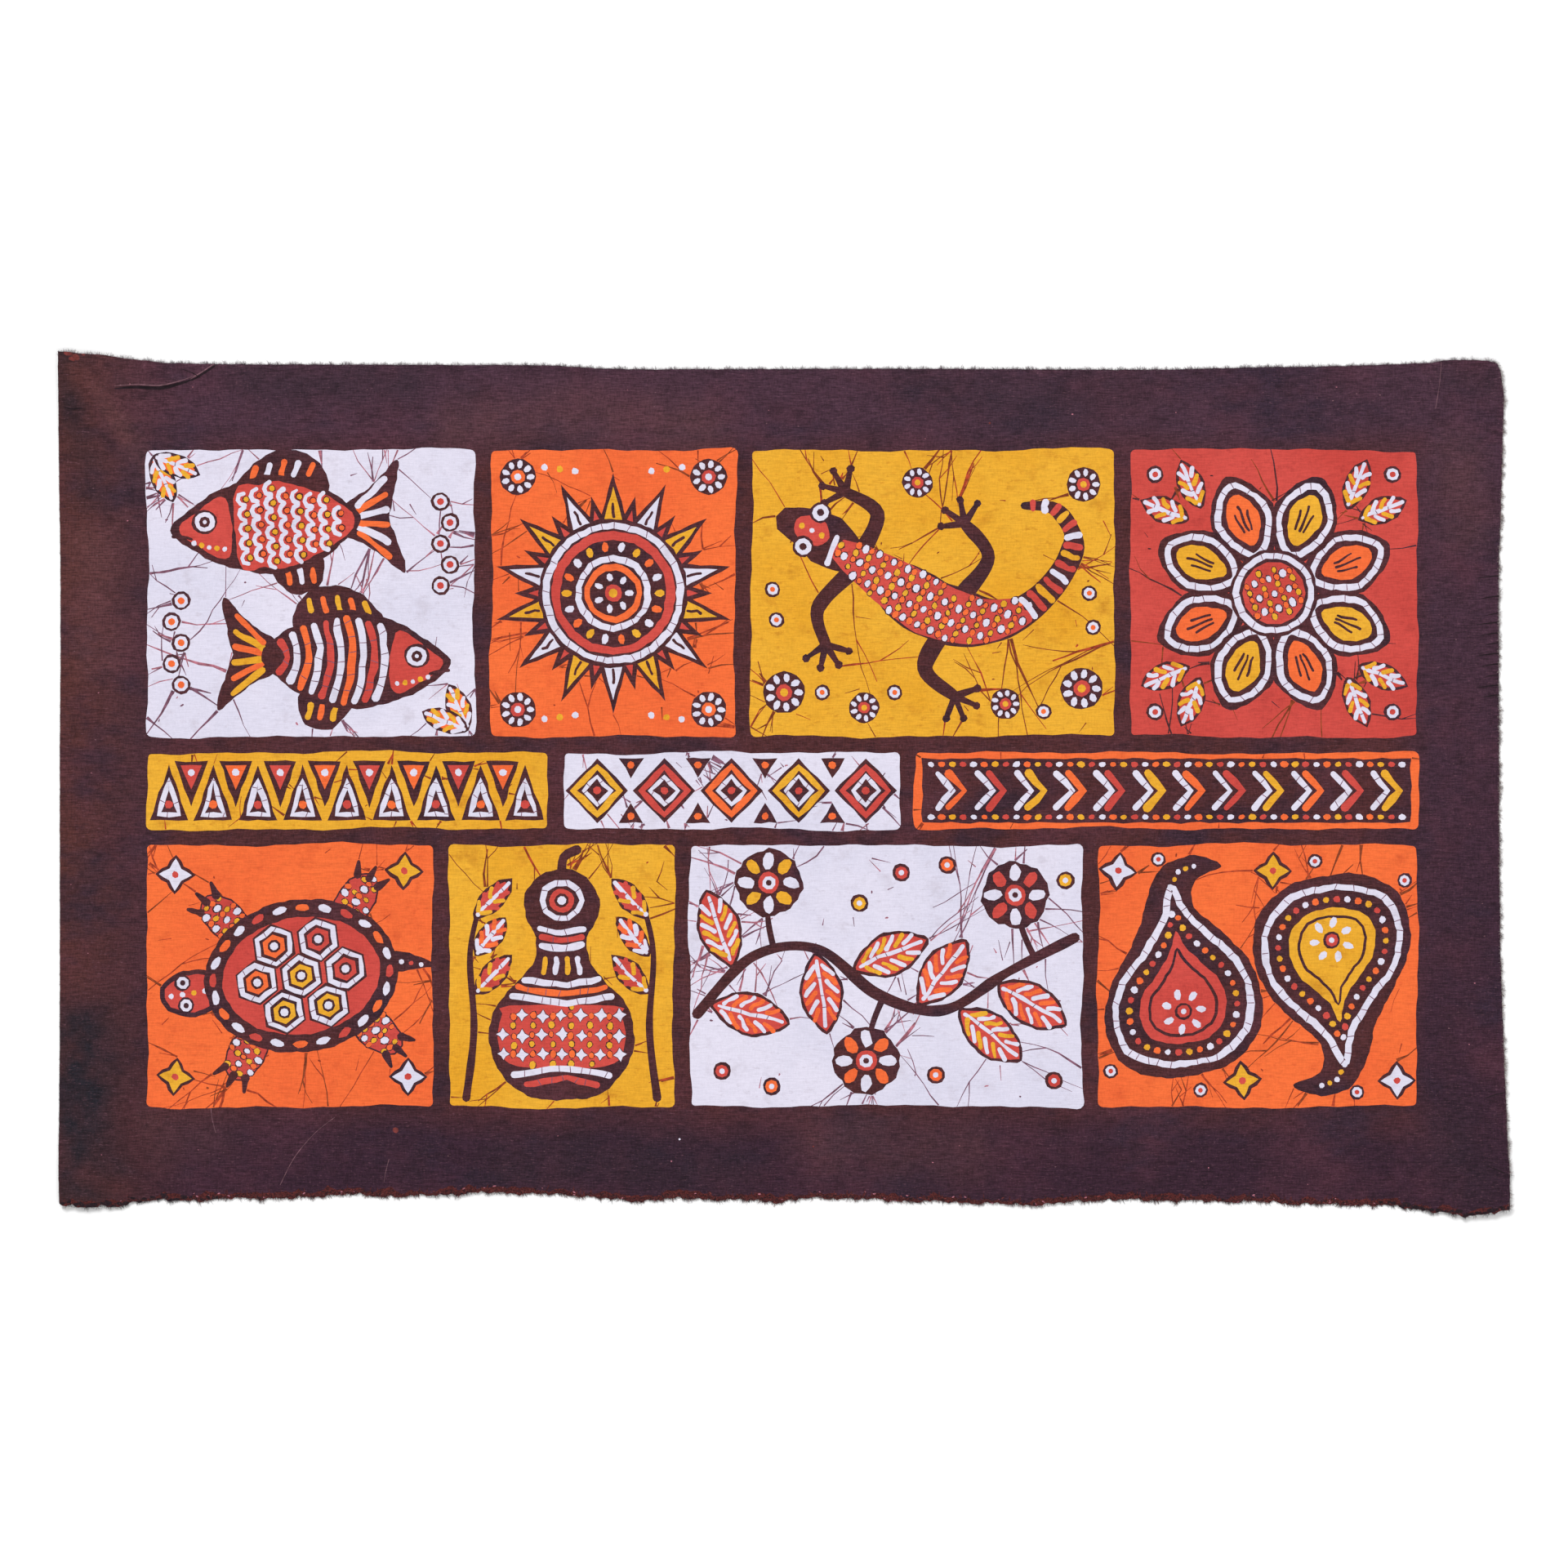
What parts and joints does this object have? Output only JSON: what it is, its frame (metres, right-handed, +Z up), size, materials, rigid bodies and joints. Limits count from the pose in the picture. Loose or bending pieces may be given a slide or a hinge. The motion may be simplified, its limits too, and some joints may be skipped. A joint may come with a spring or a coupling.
{
  "type": "batik cloth",
  "caption": "Hand-dyed cotton batik cloth with raw edges, lying flat: bright motif panels and bands on a dark brown ground with a plain dark border.",
  "frame": {"origin": "on the surface that the cloth rests on, under the middle of the cloth's bounding box", "axes": "+X along the cloth's length, towards the right of its picture; +Y towards its upper edge; +Z up, out of the picture side"},
  "size_m": [0.76, 0.4529, 0.0041],
  "materials": {
    "dyed_cotton": "matte plain-woven cotton, wax-resist dyed in yellow, orange, red and near-white on dark brown"
  },
  "bodies": {
    "root": {"cloth": "dyed_cotton"}
  },
  "joints": []
}
